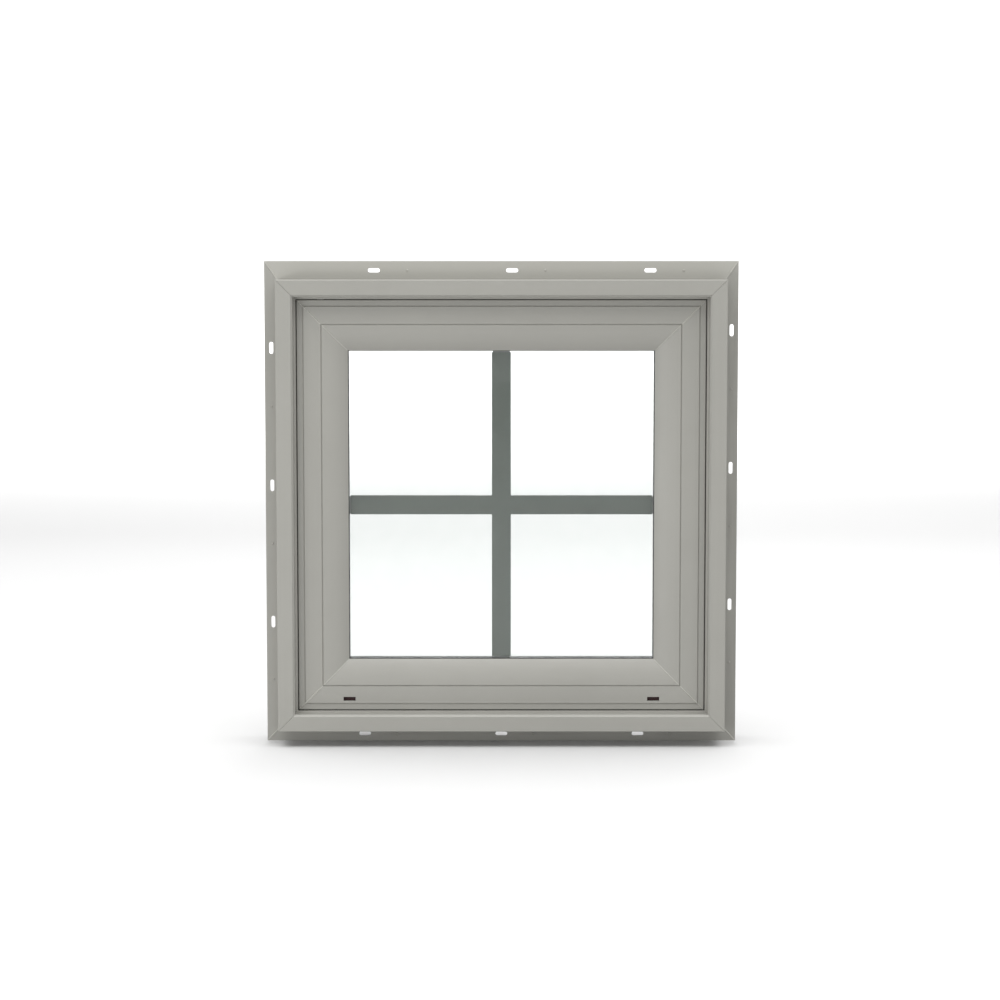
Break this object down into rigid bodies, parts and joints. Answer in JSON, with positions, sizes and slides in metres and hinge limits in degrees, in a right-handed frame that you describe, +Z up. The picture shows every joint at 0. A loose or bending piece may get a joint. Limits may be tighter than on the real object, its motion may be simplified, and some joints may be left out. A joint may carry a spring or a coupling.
{
  "type": "casement window",
  "caption": "Square casement window with a nailing fin, a sash with a sealed unit and grid bars, and a crank operator that swings it outwards.",
  "frame": {"origin": "middle of the window in the plane of the nailing fin's back face, which lies on the wall sheathing", "axes": "+X along the sill to the right seen from outside, +Y from outside into the room, +Z up"},
  "size_m": [0.484, 0.1223, 0.4945],
  "materials": {
    "vinyl": "satin extruded PVC, warm light grey",
    "glass": "clear float glass",
    "spacer": "matt black warm-edge spacer",
    "grid_paint": "satin paint",
    "grid_clip": "moulded",
    "seal_rubber": "matt",
    "steel": "zinc plated",
    "screw_steel": "zinc plated",
    "die_cast": "grey die casting",
    "track_aluminium": "mill",
    "shoe_nylon": "moulded nylon",
    "cover_plastic": "moulded",
    "handle_paint": "satin powder coat",
    "knob_plastic": "moulded"
  },
  "bodies": {
    "frame": {"frame_sill": "vinyl", "frame_jamb_left": "vinyl", "frame_head": "vinyl", "frame_jamb_right": "vinyl", "frame_seal": "seal_rubber", "lip_seal": "vinyl", "hinge_plate_bottom": "steel", "hinge_plate_top": "steel", "hinge_pin_bottom": "steel", "hinge_pin_top": "steel", "hinge_plate_screws": "screw_steel", "operator_base": "die_cast", "operator_pivot": "steel", "operator_screws": "screw_steel", "operator_cover": "cover_plastic", "operator_cover_screws": "screw_steel", "lock_base": "cover_plastic", "lock_base_screws": "screw_steel"},
    "sash": {"sash_rail_bottom": "vinyl", "sash_stile_left": "vinyl", "sash_rail_top": "vinyl", "sash_stile_right": "vinyl", "bead_bottom": "vinyl", "bead_left": "vinyl", "bead_top": "vinyl", "bead_right": "vinyl", "glass_outer": "glass", "glass_inner": "glass", "glass_spacer": "spacer", "grid_bar_vertical": "grid_paint", "grid_bar_left": "grid_paint", "grid_bar_right": "grid_paint", "grid_clips": "grid_clip", "setting_blocks": "seal_rubber", "glazing_tape": "seal_rubber", "glazing_gasket": "seal_rubber", "hinge_bracket_bottom": "steel", "hinge_bracket_top": "steel", "hinge_bracket_screws": "screw_steel", "shoe_track": "track_aluminium", "lock_keeper": "steel", "keeper_screws": "screw_steel"},
    "arm": {"drive_arm": "steel", "gear_sector": "steel"},
    "shoe": {"arm_shoe": "shoe_nylon"},
    "crank": {"worm_spindle": "steel", "crank_handle": "handle_paint", "crank_set_screw": "screw_steel"},
    "knob": {"crank_knob": "knob_plastic"},
    "lock": {"lock_lever": "handle_paint", "lock_cam": "steel"}
  },
  "joints": [
    {"name": "sash_swing", "type": "hinge", "parent": "frame", "child": "sash", "pos_m": [-0.1842, -0.006, 0], "axis": [0, 0, -1], "range_deg": [0, 70]},
    {"name": "arm_swing", "type": "hinge", "parent": "frame", "child": "arm", "pos_m": [-0.1602, -0.004, -0.2032], "axis": [0, 0, -1], "range_deg": [0, 81]},
    {"name": "shoe_turn", "type": "hinge", "parent": "arm", "child": "shoe", "pos_m": [-0.03034, 0.002, -0.1972], "axis": [0, 0, -1], "range_deg": [-11, 0]},
    {"name": "crank_spin", "type": "hinge", "parent": "frame", "child": "crank", "pos_m": [-0.1313, 0.0525, -0.2058], "axis": [0, 1, 0], "range_deg": [0, 845]},
    {"name": "knob_spin", "type": "hinge", "parent": "crank", "child": "knob", "pos_m": [-0.0593, 0.0775, -0.2058], "axis": [0, 1, 0], "continuous": true},
    {"name": "lock_turn", "type": "hinge", "parent": "frame", "child": "lock", "pos_m": [0.2052, 0.052, -0.06], "axis": [0, -1, 0], "range_deg": [0, 90]}
  ],
  "couplings": [
    {"joint": "arm_swing", "follows": "sash_swing", "ratio": 1.145},
    {"joint": "shoe_turn", "follows": "sash_swing", "ratio": -0.145},
    {"joint": "crank_spin", "follows": "sash_swing", "ratio": 12}
  ]
}
